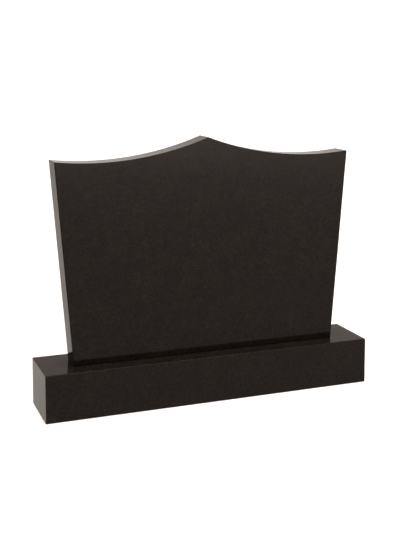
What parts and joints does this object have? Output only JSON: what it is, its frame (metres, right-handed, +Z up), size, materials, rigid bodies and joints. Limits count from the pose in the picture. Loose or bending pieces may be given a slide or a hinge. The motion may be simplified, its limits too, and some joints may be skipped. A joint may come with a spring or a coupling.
{
  "type": "headstone",
  "caption": "Polished dark granite headstone: an upright tablet, waisted towards its foot, with a hollow-curved top rising to a central peak, on a plain block base.",
  "frame": {"origin": "middle of the base's underside, on the ground", "axes": "+X along the stone's length, to the right seen from the front; +Y from the front to the back; +Z up"},
  "size_m": [1.1, 0.2, 0.8503],
  "materials": {
    "polished_granite": "polished"
  },
  "bodies": {
    "root": {"tablet": "polished_granite", "base": "polished_granite"}
  },
  "joints": []
}
